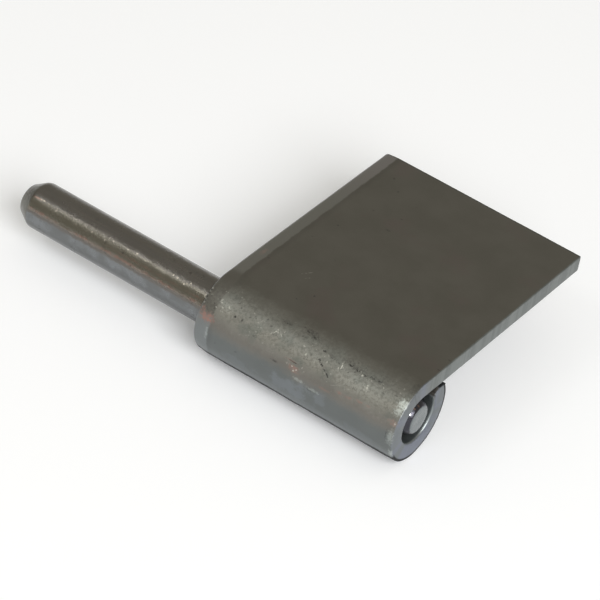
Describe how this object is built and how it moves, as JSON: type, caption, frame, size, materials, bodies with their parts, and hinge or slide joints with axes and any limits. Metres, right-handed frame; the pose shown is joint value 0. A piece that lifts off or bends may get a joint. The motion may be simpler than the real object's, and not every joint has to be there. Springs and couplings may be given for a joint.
{
  "type": "weld on barrel hinge",
  "caption": "Pin half of a lift-off hinge for welding on: a flat steel leaf rolled at one end into a barrel that holds a long round pin with tapered ends.",
  "frame": {"origin": "on the pin's axis, at the barrel's bearing face, which the other half of the hinge turns on", "axes": "+X along the pin's axis from its free tip into the barrel, +Y along the leaf from the pin to its free edge, +Z out of the leaf's outer face"},
  "size_m": [0.1524, 0.1035, 0.0292],
  "materials": {
    "leaf_steel": "dark mill finish, lightly oiled, rubbed brighter over the barrel",
    "pin_steel": "bright-drawn round bar, dulled, with fine marks along it"
  },
  "bodies": {
    "root": {"rolled_leaf": "leaf_steel", "hinge_pin": "pin_steel"}
  },
  "joints": []
}
